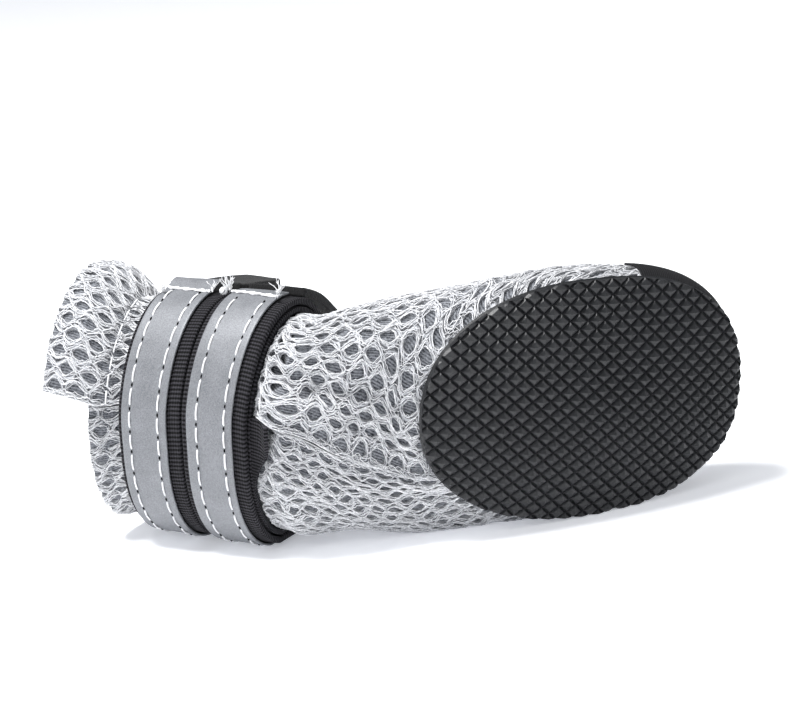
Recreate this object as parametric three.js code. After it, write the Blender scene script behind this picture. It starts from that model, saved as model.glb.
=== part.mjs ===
import * as THREE from "three";

// Dog boot in air mesh with a studded rubber sole and two reflective straps, in millimetres.
// Boot frame: x from heel to toe, y towards the side the boot lies on, z from the tread into the boot.
// The finished group turns that frame onto its side, +Z up, with the floor at zero.

// Sole
const soleLength = 64.2;
const soleWidth = 45.4;
const soleThickness = 1.6;
const treadHeight = 0.4;
const soleRocker = 4.0;
const soleCrown = 4.0;
const toeSquareness = 2.55;
const heelSquareness = 2.16;
const soleEdgeBevel = 0.5;
const soleTaper = 0.9;
const rubberLip = 0.5;
const insoleThickness = 1.4;
const insoleSideGap = 0.6;
const insoleBevel = 0.3;

// Cloth and webbing
const meshWall = 1.8;
const clearGap = 0.3;
const toeCapThickness = 0.7;
const bandThickness = 1.0;
const strapThickness = 1.3;
const tapeThickness = 0.4;
const tabThickness = 1.2;
const bandOffset = clearGap;
const strapOffset = bandOffset + bandThickness + clearGap;
const tapeOffset = strapOffset + strapThickness + clearGap;

// Toe cap: angles from the toe in degrees, and its top edge as a station in the table of sections
const capHalfAngle = 69;
const capTopStation = 1.9;
const capFade = 8;

// Shaft and straps, measured along the shaft from the edge of the strap nearest the foot
const shaftLean = 52;
const shaftStartBack = { x: -59.1, z: 17.2 };
const strapWidth = 13.2;
const strapGap = 0.4;
const tapeWidth = 9.3;
const tapeInsets = [2.3, 2.5];
const tapeStartAngle = 30;
const tapeEndAngle = 278;
const bandFootOverhang = 1.8;
const bandCollarOverhang = 0.8;
const strapZone = 2 * strapWidth + strapGap;
const strapDepth = 27;
const shaftSquareness = 2.05;
const cuffLength = 7.5;
const flapLength = 16.0;

// Overlap at the back, where the upper panel of mesh lies over the lower one
const overlapRise = 1.5;
const overlapFade = 75;
const overlapLead = 24;
const flapEndAngle = 318;
const flapFade = 30;
const strapPinch = 0.5;

// Resting pose
const footYaw = 22;
const toeDrop = 4.5;
const soleTip = 6;
const soleCentreHeight = 22.3;

// Mesh counts
const columns = 44;
const soleColumns = 60;
const soleRings = 6;
const bandSegment = 7;
const stripSegment = 8;
// The upper's last column stands this far short of the slit, in radians
const lastColumnGap = 0.05;

const degrees = Math.PI / 180;
const halfLength = soleLength / 2;
const halfWidth = soleWidth / 2;
const rimHeight = treadHeight + soleThickness + soleRocker + clearGap;
const rimInset = soleTaper + rubberLip;

// Foot sections, one row each from the sole's rim to the ankle: the front and back points of the loop,
// its half width, how far it sags to the floor, and the angle of the overlap's edge
const footRows = [
  { frontX: 30.7, frontZ: rimHeight, backX: -30.7, backZ: rimHeight, half: 21.3, sag: 0.0, slit: 149 },
  { frontX: 33.2, frontZ: 10.8, backX: -34.8, backZ: 8.3, half: 23.6, sag: 0.9, slit: 154 },
  { frontX: 32.3, frontZ: 15.2, backX: -37.0, backZ: 8.9, half: 24.4, sag: 1.8, slit: 160 },
  { frontX: 28.2, frontZ: 19.6, backX: -40.0, backZ: 9.4, half: 24.8, sag: 2.7, slit: 166 },
  { frontX: 20.0, frontZ: 23.4, backX: -43.2, backZ: 9.8, half: 24.4, sag: 3.5, slit: 171 },
  { frontX: 8.4, frontZ: 26.4, backX: -46.5, backZ: 10.1, half: 23.4, sag: 4.0, slit: 175 },
  { frontX: -4.6, frontZ: 29.2, backX: -49.8, backZ: 10.4, half: 22.4, sag: 4.2, slit: 180 },
  { frontX: -16.6, frontZ: 31.6, backX: -52.9, backZ: 10.8, half: 21.5, sag: 4.6, slit: 185 },
];

// Shaft sections, each square to the shaft: its place along the shaft, depth, half width, sag and slit
const shaftRows = [
  { along: -6.0, depth: 29.0, half: 20.7, sag: 5.2, slit: 190 },
  { along: -2.2, depth: 27.0, half: 20.2, sag: 5.5, slit: 194 },
  { along: 7.5, depth: 26.0, half: 20.2, sag: 6.3, slit: 196 },
  { along: 17.3, depth: 25.0, half: 20.0, sag: 7.3, slit: 195 },
  { along: strapZone + 1.2, depth: 24.6, half: 19.9, sag: 8.2, slit: 192 },
  { along: strapZone + 5.2, depth: 27.8, half: 21.7, sag: 8.1, slit: 189 },
  { along: strapZone + 10.5, depth: 31.0, half: 24.3, sag: 7.0, slit: 188 },
  { along: strapZone + flapLength, depth: 31.0, half: 24.2, sag: 6.8, slit: 188 },
];

const shaftDirection = { x: -Math.cos(shaftLean * degrees), z: Math.sin(shaftLean * degrees) };
const shaftFront = { x: Math.sin(shaftLean * degrees), z: Math.cos(shaftLean * degrees) };

function shaftRow(row) {
  // The straps pull the mesh in evenly from front and back
  const pinch = (strapDepth - row.depth) / 2;
  const backX = shaftStartBack.x + row.along * shaftDirection.x + pinch * shaftFront.x;
  const backZ = shaftStartBack.z + row.along * shaftDirection.z + pinch * shaftFront.z;
  return {
    frontX: backX + row.depth * shaftFront.x,
    frontZ: backZ + row.depth * shaftFront.z,
    backX,
    backZ,
    half: row.half,
    sag: row.sag,
    slit: row.slit,
  };
}

const rows = [...footRows, ...shaftRows.map(shaftRow)];
const firstShaftRow = footRows.length;
const strapRow = firstShaftRow + 1;
const lastStrapRow = firstShaftRow + 4;

function clamp01(value) {
  return Math.min(Math.max(value, 0), 1);
}

function smoothStep(value) {
  const share = clamp01(value);
  return share * share * (3 - 2 * share);
}

// Smooth curve through one column of the table
function sampleColumn(name, station) {
  const index = Math.min(Math.max(Math.floor(station), 0), rows.length - 2);
  const share = station - index;
  const here = rows[index][name];
  const next = rows[index + 1][name];
  const before = index > 0 ? rows[index - 1][name] : 2 * here - next;
  const after = index + 2 < rows.length ? rows[index + 2][name] : 2 * next - here;
  const startSlope = (next - before) / 2;
  const endSlope = (after - here) / 2;
  const square = share * share;
  const cube = square * share;
  return (2 * cube - 3 * square + 1) * here + (cube - 2 * square + share) * startSlope
    + (3 * square - 2 * cube) * next + (cube - square) * endSlope;
}

// Station in the table for a distance along the shaft
function stationAlong(distance) {
  let index = 0;
  while (index < shaftRows.length - 2 && distance > shaftRows[index + 1].along) index += 1;
  const start = shaftRows[index].along;
  const span = shaftRows[index + 1].along - start;
  return firstShaftRow + index + (distance - start) / span;
}

function signedPower(value, power) {
  return Math.sign(value) * Math.abs(value) ** power;
}

// Point of the sole's outline, drawn in by inset, for an angle from the toe
function outlinePoint(angle, inset) {
  const squareness = Math.cos(angle) > 0 ? toeSquareness : heelSquareness;
  return {
    x: (halfLength - inset) * signedPower(Math.cos(angle), 2 / squareness),
    y: (halfWidth - inset) * signedPower(Math.sin(angle), 2 / squareness),
  };
}

// Height of the tread side of the sole, which is dished like a shallow saucer
function soleRise(x, y) {
  return soleRocker * (x / halfLength) ** 2 + soleCrown * (y / halfWidth) ** 2;
}

// Resting pose: the boot frame's axes in the finished frame
const toeAxis = new THREE.Vector3(
  Math.cos(toeDrop * degrees) * Math.cos(footYaw * degrees),
  Math.cos(toeDrop * degrees) * Math.sin(footYaw * degrees),
  -Math.sin(toeDrop * degrees),
);
const levelAway = new THREE.Vector3(-Math.sin(footYaw * degrees), Math.cos(footYaw * degrees), 0);
const levelSide = new THREE.Vector3().crossVectors(levelAway, toeAxis).normalize();
const insideAxis = levelAway.clone().multiplyScalar(Math.cos(soleTip * degrees))
  .addScaledVector(levelSide, -Math.sin(soleTip * degrees)).normalize();
const sideAxis = new THREE.Vector3().crossVectors(insideAxis, toeAxis).normalize();
const upInBoot = new THREE.Vector3(toeAxis.z, sideAxis.z, insideAxis.z);

// Lifts a point of the boot frame to a clearance above the floor
function layOnFloor(point, clearance) {
  const height = point.dot(upInBoot) + soleCentreHeight;
  if (height < clearance) point.addScaledVector(upInBoot, clearance - height);
  return point;
}

// Outer skin of the mesh before it meets the floor
function skinPoint(station, angle) {
  const front = new THREE.Vector3(sampleColumn("frontX", station), 0, sampleColumn("frontZ", station));
  const back = new THREE.Vector3(sampleColumn("backX", station), 0, sampleColumn("backZ", station));
  const reach = front.clone().sub(back);
  const middle = front.clone().add(back).multiplyScalar(0.5);
  const footShare = 1 - smoothStep((station - 3) / (firstShaftRow - 3));
  const soleSquareness = Math.cos(angle) > 0 ? toeSquareness : heelSquareness;
  const squareness = shaftSquareness + (soleSquareness - shaftSquareness) * footShare;
  const lengthwise = signedPower(Math.cos(angle), 2 / squareness);
  const sideways = signedPower(Math.sin(angle), 2 / squareness);
  const point = middle.addScaledVector(reach, lengthwise / 2);
  point.y = sampleColumn("half", station) * sideways + sampleColumn("sag", station);
  const rim = outlinePoint(angle, rimInset);
  point.z += (soleRise(rim.x, rim.y) - soleRocker) * clamp01(1 - station);
  return point;
}

function skinNormal(station, angle) {
  const step = 0.02;
  const low = Math.max(station - step, 0);
  const along = skinPoint(station + step, angle).sub(skinPoint(low, angle));
  const around = skinPoint(station, angle + step).sub(skinPoint(station, angle - step));
  const normal = around.cross(along).normalize();
  // The rim stands square on the sole
  const flat = new THREE.Vector3(normal.x, normal.y, 0).normalize();
  return normal.lerp(flat, clamp01(1 - 2 * station)).normalize();
}

// One under the straps, running out to nothing over the next section on either side
function inStraps(station) {
  return smoothStep(station - strapRow + 1) * smoothStep(lastStrapRow + 1 - station);
}

// Thickness of the layers that lie on the mesh, which the floor also has to hold off
function layersOver(station, angle) {
  const straps = (tapeOffset + tapeThickness) * inStraps(station);
  const fromToe = Math.abs(Math.atan2(Math.sin(angle), Math.cos(angle))) / degrees;
  const roundToe = smoothStep((capHalfAngle + capFade - fromToe) / capFade);
  const cap = (clearGap + toeCapThickness) * roundToe * smoothStep(capTopStation + 1 - station);
  return Math.max(straps, cap);
}

// Extra height of the upper panel beyond the slit, with its edge sharp on the mesh and eased on the straps
function overlapHeight(afterSlit, eased) {
  const fade = 1 - smoothStep(afterSlit / (overlapFade * degrees));
  const lead = eased ? smoothStep(1 - (2 * Math.PI - afterSlit) / (overlapLead * degrees)) : 0;
  return overlapRise * Math.max(fade, lead);
}

function slitAngle(station) {
  return sampleColumn("slit", station) * degrees;
}

// Point at an offset from the mesh, for an angle measured on from the slit
function layerPoint(station, afterSlit, offset, eased) {
  const angle = slitAngle(station) + afterSlit;
  const pinch = 1 - strapPinch * inStraps(station);
  const rise = offset < 0 ? 0 : overlapHeight(afterSlit, eased) * pinch;
  const normal = skinNormal(station, angle);
  const point = skinPoint(station, angle).addScaledVector(normal, offset + rise);
  return layOnFloor(point, Math.max(layersOver(station, angle) - offset, 0));
}

// Closed mesh from a list of points and faces given as corner loops
function solidFrom(points, faces) {
  const geometry = new THREE.BufferGeometry();
  const positions = points.flatMap((point) => [point.x, point.y, point.z]);
  const triangles = faces.flatMap((loop) => {
    const fan = [];
    for (let corner = 1; corner + 1 < loop.length; corner += 1) {
      fan.push(loop[0], loop[corner], loop[corner + 1]);
    }
    return fan;
  });
  geometry.setAttribute("position", new THREE.Float32BufferAttribute(positions, 3));
  geometry.setIndex(triangles);
  geometry.computeVertexNormals();
  return geometry;
}

// Tube with a wall: outer and inner loops of points, joined at both rims
function tubeSolid(outerLoops, innerLoops) {
  const count = outerLoops[0].length;
  const points = [...outerLoops.flat(), ...innerLoops.flat()];
  const innerStart = outerLoops.length * count;
  const faces = [];
  for (let ring = 0; ring + 1 < outerLoops.length; ring += 1) {
    for (let column = 0; column < count; column += 1) {
      const next = (column + 1) % count;
      const a = ring * count + column;
      const b = ring * count + next;
      faces.push([a, b, b + count, a + count]);
      faces.push([innerStart + b, innerStart + a, innerStart + a + count, innerStart + b + count]);
    }
  }
  const last = (outerLoops.length - 1) * count;
  for (let column = 0; column < count; column += 1) {
    const next = (column + 1) % count;
    faces.push([next, column, innerStart + column, innerStart + next]);
    faces.push([last + column, last + next, innerStart + last + next, innerStart + last + column]);
  }
  return solidFrom(points, faces);
}

// Block bent over the mesh: a grid of outer points over a grid of inner points, closed all round
function patchSolid(outerRows, innerRows) {
  const width = outerRows[0].length;
  const height = outerRows.length;
  const points = [...outerRows.flat(), ...innerRows.flat()];
  const below = width * height;
  const faces = [];
  for (let row = 0; row + 1 < height; row += 1) {
    for (let column = 0; column + 1 < width; column += 1) {
      const a = row * width + column;
      faces.push([a, a + 1, a + 1 + width, a + width]);
      faces.push([below + a + 1, below + a, below + a + width, below + a + 1 + width]);
    }
  }
  const border = [];
  for (let column = 0; column + 1 < width; column += 1) border.push(column);
  for (let row = 0; row + 1 < height; row += 1) border.push(row * width + width - 1);
  for (let column = width - 1; column > 0; column -= 1) border.push((height - 1) * width + column);
  for (let row = height - 1; row > 0; row -= 1) border.push(row * width);
  border.forEach((corner, index) => {
    const next = border[(index + 1) % border.length];
    faces.push([next, corner, below + corner, below + next]);
  });
  return solidFrom(points, faces);
}

function spread(from, to, steps) {
  return Array.from({ length: steps + 1 }, (_, index) => from + ((to - from) * index) / steps);
}

// Sole, dished, with its two faces as rings of the outline and its side drawn in by taper
function soleLayer(inset, bottom, top, bevel, taper, clearance) {
  const rings = spread(0, 1, soleRings).slice(1);
  const angles = spread(0, 2 * Math.PI, soleColumns).slice(0, -1);
  const place = (share, angle, edgeInset, height) => {
    const edge = outlinePoint(angle, inset + edgeInset);
    const x = edge.x * share;
    const y = edge.y * share;
    return layOnFloor(new THREE.Vector3(x, y, height + soleRise(x, y)), clearance);
  };
  const points = [];
  rings.forEach((share) => angles.forEach((angle) => points.push(place(share, angle, bevel, bottom))));
  angles.forEach((angle) => points.push(place(1, angle, 0, bottom + bevel)));
  angles.forEach((angle) => points.push(place(1, angle, taper, top - bevel / 2)));
  rings.reverse();
  rings.forEach((share) => angles.forEach((angle) => points.push(place(share, angle, taper + bevel / 2, top))));
  const count = angles.length;
  const loops = points.length / count;
  const faces = [];
  for (let ring = 0; ring + 1 < loops; ring += 1) {
    for (let column = 0; column < count; column += 1) {
      const a = ring * count + column;
      const b = ring * count + ((column + 1) % count);
      faces.push([a, b, b + count, a + count]);
    }
  }
  const low = points.push(new THREE.Vector3(0, 0, bottom)) - 1;
  const high = points.push(new THREE.Vector3(0, 0, top)) - 1;
  for (let column = 0; column < count; column += 1) {
    const next = (column + 1) % count;
    faces.push([low, next, column]);
    faces.push([high, (loops - 1) * count + column, (loops - 1) * count + next]);
  }
  return solidFrom(points, faces);
}

function buildOutsole() {
  return soleLayer(0, treadHeight, treadHeight + soleThickness, soleEdgeBevel, soleTaper, 0);
}

function buildInsole() {
  const bottom = treadHeight + soleThickness + clearGap;
  const inset = rimInset + meshWall + insoleSideGap;
  return soleLayer(inset, bottom, bottom + insoleThickness, insoleBevel, 0, meshWall + clearGap);
}

// Angles round the leg, counted on from the slit; the last column ends just short of a full turn
function columnAngles() {
  return spread(0, 2 * Math.PI - lastColumnGap, columns);
}

// The collar ends further out on the flap than on the lower half of the cuff
function collarStation(afterSlit, station) {
  const angle = slitAngle(station) / degrees + afterSlit / degrees;
  const inFlap = 1 - smoothStep((angle - flapEndAngle) / flapFade);
  const length = cuffLength + (flapLength - cuffLength) * inFlap;
  const end = stationAlong(strapZone + length);
  const start = stationAlong(strapZone);
  if (station <= start) return station;
  return start + ((station - start) * (end - start)) / (rows.length - 1 - start);
}

function buildUpper() {
  const footStations = [0, 0.4, 1, 1.6, 2.2, 3, 3.7, 4.4, 5.2, 6, 6.8, 7.5, 8.1, 8.6];
  const stations = [...footStations, 9, 10, 11, 12, 12.5, 13.2, 14, 15];
  const loop = (station, offset) => columnAngles().map(
    (afterSlit) => layerPoint(collarStation(afterSlit, station), afterSlit, offset, false),
  );
  const outer = stations.map((station) => loop(station, 0));
  const inner = stations.map((station) => loop(station, -meshWall));
  return tubeSolid(outer, inner);
}

// Angle round the leg counted on from the slit, for an angle counted from the front of the leg
function fromSlit(station, angle) {
  return (angle - slitAngle(station) + 4 * Math.PI) % (2 * Math.PI);
}

// A strip of cloth round the toe, from the sole's rim up the mesh
function buildToeCap() {
  const stations = [0.05, 0.4, 1, 1.6, capTopStation];
  const angles = spread(-capHalfAngle, capHalfAngle, 22).map((angle) => angle * degrees);
  const place = (station, angle, offset) => layerPoint(station, fromSlit(station, angle), offset, false);
  const layer = (offset) => stations.map((station) => angles.map((angle) => place(station, angle, offset)));
  return patchSolid(layer(clearGap + toeCapThickness), layer(clearGap));
}

// Closed band round the shaft between two distances along it
function bandSolid(from, to, offset, thickness) {
  const stations = spread(from, to, Math.round((to - from) / bandSegment)).map(stationAlong);
  const angles = spread(0, 2 * Math.PI, columns).slice(0, -1);
  const loop = (station, height) => angles.map((afterSlit) => layerPoint(station, afterSlit, height, true));
  const outer = stations.map((station) => loop(station, offset + thickness));
  const inner = stations.map((station) => loop(station, offset));
  return tubeSolid(outer, inner);
}

// Open strip round the shaft; its start and end are angles from the front of the leg
function stripSolid(from, to, startAngle, endAngle, offset, thickness, lift = () => 0) {
  const stations = spread(from, to, Math.round((to - from) / bandSegment)).map(stationAlong);
  const shares = spread(0, 1, Math.round((endAngle - startAngle) / stripSegment));
  const place = (station, share, height) => {
    const angle = (startAngle + (endAngle - startAngle) * share) * degrees;
    return layerPoint(station, fromSlit(station, angle), height + lift(share), true);
  };
  const layer = (height) => stations.map((station) => shares.map((share) => place(station, share, height)));
  return patchSolid(layer(offset + thickness), layer(offset));
}

// Loose ends of the straps: angles from the front of the leg, drawn in from the strap's edges
const tabs = [
  { name: "hook_tab_foot", strap: 0, startAngle: 284, endAngle: 324, inset: 1.0, lift: 5.0 },
  { name: "hook_tab_collar", strap: 1, startAngle: 282, endAngle: 318, inset: 0.6, lift: 7.5 },
];

function buildBand() {
  return bandSolid(-bandFootOverhang, strapZone + bandCollarOverhang, bandOffset, bandThickness);
}

function strapStart(index) {
  return index * (strapWidth + strapGap);
}

function buildStrap(index) {
  return bandSolid(strapStart(index), strapStart(index) + strapWidth, strapOffset, strapThickness);
}

function buildTape(index) {
  const start = strapStart(index) + tapeInsets[index];
  return stripSolid(start, start + tapeWidth, tapeStartAngle, tapeEndAngle, tapeOffset, tapeThickness);
}

function buildTab(tab) {
  const start = strapStart(tab.strap) + tab.inset;
  const width = strapWidth - 2 * tab.inset;
  const lift = (share) => tab.lift * share * share;
  return stripSolid(start, start + width, tab.startAngle, tab.endAngle, tapeOffset, tabThickness, lift);
}

const rubber = new THREE.MeshStandardMaterial({ color: 0x2b2c2f, roughness: 0.55, metalness: 0 });
const mesh = new THREE.MeshStandardMaterial({ color: 0xb9bcc1, roughness: 0.9, metalness: 0 });
const blackCloth = new THREE.MeshStandardMaterial({ color: 0x1c1c1f, roughness: 0.9, metalness: 0 });
const webbing = new THREE.MeshStandardMaterial({ color: 0x2e2e32, roughness: 0.85, metalness: 0 });
const reflective = new THREE.MeshStandardMaterial({ color: 0x97999c, roughness: 0.45, metalness: 0.2 });
const foam = new THREE.MeshStandardMaterial({ color: 0x55575b, roughness: 0.95, metalness: 0 });

const boot = new THREE.Group();

function add(name, geometry, material) {
  const piece = new THREE.Mesh(geometry, material);
  piece.name = name;
  boot.add(piece);
}

add("outsole", buildOutsole(), rubber);
add("insole", buildInsole(), foam);
add("upper", buildUpper(), mesh);
add("toe_cap", buildToeCap(), blackCloth);
add("loop_band", buildBand(), webbing);
["foot", "collar"].forEach((place, index) => {
  add(`strap_${place}`, buildStrap(index), webbing);
  add(`reflective_tape_${place}`, buildTape(index), reflective);
});
tabs.forEach((tab) => add(tab.name, buildTab(tab), webbing));

boot.quaternion.setFromRotationMatrix(new THREE.Matrix4().makeBasis(toeAxis, sideAxis, insideAxis));
boot.position.z = soleCentreHeight;

// The finished part is centred over its box, with the floor at zero
const part = new THREE.Group();
part.add(boot);
part.updateMatrixWorld(true);
const box = new THREE.Box3().setFromObject(part, true);
const middle = box.getCenter(new THREE.Vector3());
boot.position.x -= middle.x;
boot.position.y -= middle.y;
part.updateMatrixWorld(true);

export default part;
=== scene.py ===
import math
import random
import bpy
import bmesh
import numpy as np
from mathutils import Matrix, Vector


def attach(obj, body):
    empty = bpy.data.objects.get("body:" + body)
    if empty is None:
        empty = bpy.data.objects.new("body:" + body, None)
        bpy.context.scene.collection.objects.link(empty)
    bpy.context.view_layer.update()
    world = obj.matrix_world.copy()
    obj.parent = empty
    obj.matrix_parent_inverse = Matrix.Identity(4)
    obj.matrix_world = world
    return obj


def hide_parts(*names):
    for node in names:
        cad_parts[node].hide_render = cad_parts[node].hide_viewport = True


# Dog boot in air mesh, lying on its side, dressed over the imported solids
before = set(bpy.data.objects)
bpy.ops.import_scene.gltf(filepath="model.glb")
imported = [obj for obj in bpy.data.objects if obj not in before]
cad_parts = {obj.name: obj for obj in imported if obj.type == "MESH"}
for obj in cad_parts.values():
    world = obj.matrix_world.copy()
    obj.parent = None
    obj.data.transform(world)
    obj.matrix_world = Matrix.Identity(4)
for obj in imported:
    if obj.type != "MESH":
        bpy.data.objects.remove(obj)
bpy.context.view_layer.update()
random.seed(7)
mm = 0.001
degrees = math.pi / 180

# The boot's own sizes in millimetres, as its solids have them
sole = {
    "length": 64.2, "width": 45.4, "thickness": 1.6, "treadHeight": 0.4, "rocker": 4.0, "crown": 4.0,
    "toeSquareness": 2.55, "heelSquareness": 2.16, "rimInset": 1.4,
}
pose = {"yaw": 22, "drop": 4.5, "tip": 6, "centreHeight": 22.3}
wrap = {
    "gap": 0.3, "capThickness": 0.7, "capHalfAngle": 69, "capTop": 1.9, "capFade": 8,
    "rise": 1.5, "fade": 75, "lead": 24, "flapEnd": 318, "flapFade": 30, "pinch": 0.5,
    "lean": 52, "backX": -59.1, "backZ": 17.2, "depth": 27.0, "squareness": 2.05,
    "strapWidth": 13.2, "strapGap": 0.4, "cuff": 7.5, "flap": 16.0,
    "bandOffset": 0.3, "strapOffset": 1.6, "tapeOffset": 3.2, "overMesh": 3.6,
}
strapZone = 2 * wrap["strapWidth"] + wrap["strapGap"]
rimHeight = sole["treadHeight"] + sole["thickness"] + sole["rocker"] + wrap["gap"]

# Sections from the sole's rim to the ankle, then up the shaft, each with its own columns
footColumns = ("frontX", "frontZ", "backX", "backZ", "half", "sag", "slit")
footTable = [
    (30.7, rimHeight, -30.7, rimHeight, 21.3, 0.0, 149),
    (33.2, 10.8, -34.8, 8.3, 23.6, 0.9, 154),
    (32.3, 15.2, -37.0, 8.9, 24.4, 1.8, 160),
    (28.2, 19.6, -40.0, 9.4, 24.8, 2.7, 166),
    (20.0, 23.4, -43.2, 9.8, 24.4, 3.5, 171),
    (8.4, 26.4, -46.5, 10.1, 23.4, 4.0, 175),
    (-4.6, 29.2, -49.8, 10.4, 22.4, 4.2, 180),
    (-16.6, 31.6, -52.9, 10.8, 21.5, 4.6, 185),
]
shaftColumns = ("along", "depth", "half", "sag", "slit")
shaftTable = [
    (-6.0, 29.0, 20.7, 5.2, 190),
    (-2.2, 27.0, 20.2, 5.5, 194),
    (7.5, 26.0, 20.2, 6.3, 196),
    (17.3, 25.0, 20.0, 7.3, 195),
    (strapZone + 1.2, 24.6, 19.9, 8.2, 192),
    (strapZone + 5.2, 27.8, 21.7, 8.1, 189),
    (strapZone + 10.5, 31.0, 24.3, 7.0, 188),
    (strapZone + wrap["flap"], 31.0, 24.2, 6.8, 188),
]


def shaftSection(values):
    row = dict(zip(shaftColumns, values))
    lean = wrap["lean"] * degrees
    pinch = (wrap["depth"] - row["depth"]) / 2
    row["backX"] = wrap["backX"] - row["along"] * math.cos(lean) + pinch * math.sin(lean)
    row["backZ"] = wrap["backZ"] + row["along"] * math.sin(lean) + pinch * math.cos(lean)
    row["frontX"] = row["backX"] + row["depth"] * math.sin(lean)
    row["frontZ"] = row["backZ"] + row["depth"] * math.cos(lean)
    return row


sections = [dict(zip(footColumns, values)) for values in footTable]
sections += [shaftSection(values) for values in shaftTable]
firstShaft, strapRow, lastStrapRow = 8, 9, 12
lastStation = len(sections) - 1


def smoothStep(value):
    share = np.clip(value, 0, 1)
    return share * share * (3 - 2 * share)


def signedPower(value, power):
    return np.sign(value) * np.abs(value) ** power


# Smooth curve through one column of the sections
def sampleColumn(name, station):
    column = np.array([row[name] for row in sections])
    padded = np.concatenate(([2 * column[0] - column[1]], column, [2 * column[-1] - column[-2]]))
    index = np.clip(np.floor(station).astype(int), 0, len(column) - 2)
    share = station - index
    before, here, after, beyond = (padded[index + step] for step in range(4))
    square, cube = share ** 2, share ** 3
    return ((2 * cube - 3 * square + 1) * here + (cube - 2 * square + share) * (after - before) / 2
            + (3 * square - 2 * cube) * after + (cube - square) * (beyond - here) / 2)


def stationAlong(distance):
    return firstShaft + np.interp(distance, [row[0] for row in shaftTable], range(len(shaftTable)))


def outlinePoint(angle, inset):
    power = np.where(np.cos(angle) > 0, 2 / sole["toeSquareness"], 2 / sole["heelSquareness"])
    return ((sole["length"] / 2 - inset) * signedPower(np.cos(angle), power),
            (sole["width"] / 2 - inset) * signedPower(np.sin(angle), power))


def soleRise(x, y):
    return sole["rocker"] * (2 * x / sole["length"]) ** 2 + sole["crown"] * (2 * y / sole["width"]) ** 2


# The boot's own axes where it lies: to the toe, to the side on the floor, and into the boot
yaw, drop, tip = (pose[name] * degrees for name in ("yaw", "drop", "tip"))
toeAxis = np.array([math.cos(drop) * math.cos(yaw), math.cos(drop) * math.sin(yaw), -math.sin(drop)])
levelAway = np.array([-math.sin(yaw), math.cos(yaw), 0])
levelSide = np.cross(levelAway, toeAxis)
insideAxis = levelAway * math.cos(tip) - levelSide / np.linalg.norm(levelSide) * math.sin(tip)
sideAxis = np.cross(insideAxis, toeAxis)
axes = np.array([toeAxis, sideAxis, insideAxis])
upInBoot = axes[:, 2]
bootOrigin = np.array([35.7229, -12.7448, pose["centreHeight"]])


def toWorld(points):
    return (points @ axes + bootOrigin) * mm


def layOnFloor(points, clearance):
    short = np.maximum(clearance - points @ upInBoot - pose["centreHeight"], 0)
    return points + short[:, None] * upInBoot


# Outer skin of the mesh; angle 0 is the front of the leg, 90 the floor side, 180 the heel
def skinPoint(station, angle):
    frontX, frontZ, backX, backZ = (sampleColumn(name, station) for name in footColumns[:4])
    footShare = 1 - smoothStep((station - 3) / (firstShaft - 3))
    soleSquareness = np.where(np.cos(angle) > 0, sole["toeSquareness"], sole["heelSquareness"])
    squareness = wrap["squareness"] + (soleSquareness - wrap["squareness"]) * footShare
    lengthwise = signedPower(np.cos(angle), 2 / squareness) / 2
    sideways = signedPower(np.sin(angle), 2 / squareness)
    rimX, rimY = outlinePoint(angle, sole["rimInset"])
    x = (frontX + backX) / 2 + (frontX - backX) * lengthwise
    y = sampleColumn("half", station) * sideways + sampleColumn("sag", station)
    z = (frontZ + backZ) / 2 + (frontZ - backZ) * lengthwise
    z = z + (soleRise(rimX, rimY) - sole["rocker"]) * np.clip(1 - station, 0, 1)
    return np.stack((x, y, z), axis=1)


def unit(vectors):
    return vectors / np.linalg.norm(vectors, axis=1)[:, None]


def skinNormal(station, angle):
    step = 0.02
    along = skinPoint(station + step, angle) - skinPoint(np.maximum(station - step, 0), angle)
    around = skinPoint(station, angle + step) - skinPoint(station, angle - step)
    normal = unit(np.cross(around, along))
    flat = unit(normal * (1, 1, 0) + (1e-9, 0, 0))
    rim = np.clip(1 - 2 * station, 0, 1)[:, None]
    return unit(normal * (1 - rim) + flat * rim)


def inStraps(station):
    return smoothStep(station - strapRow + 1) * smoothStep(lastStrapRow + 1 - station)


def layersOver(station, angle):
    fromToe = np.abs(np.arctan2(np.sin(angle), np.cos(angle))) / degrees
    cap = smoothStep((wrap["capHalfAngle"] + wrap["capFade"] - fromToe) / wrap["capFade"])
    cap = cap * smoothStep(wrap["capTop"] + 1 - station) * (wrap["gap"] + wrap["capThickness"])
    return np.maximum(wrap["overMesh"] * inStraps(station), cap)


# The upper panel of the mesh lies over the lower one from the slit on
def overlapHeight(afterSlit, eased):
    fade = (1 - smoothStep(afterSlit / (wrap["fade"] * degrees))) * (afterSlit < 2 * math.pi)
    lead = smoothStep(1 - (2 * math.pi - afterSlit) / (wrap["lead"] * degrees)) if eased else 0
    return wrap["rise"] * np.maximum(fade, lead)


def slitAngle(station):
    return sampleColumn("slit", station) * degrees


# A point so many mm off the skin; eased lets a band climb gently onto the upper panel
def layerPoint(station, afterSlit, offset, eased=False):
    angle = slitAngle(station) + afterSlit
    rise = overlapHeight(afterSlit, eased) * (1 - wrap["pinch"] * inStraps(station))
    points = skinPoint(station, angle) + skinNormal(station, angle) * (offset + rise)[:, None]
    return layOnFloor(points, np.maximum(layersOver(station, angle) - offset, 0))


def fromSlit(station, angle):
    return (angle - slitAngle(station)) % (2 * math.pi)


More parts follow.
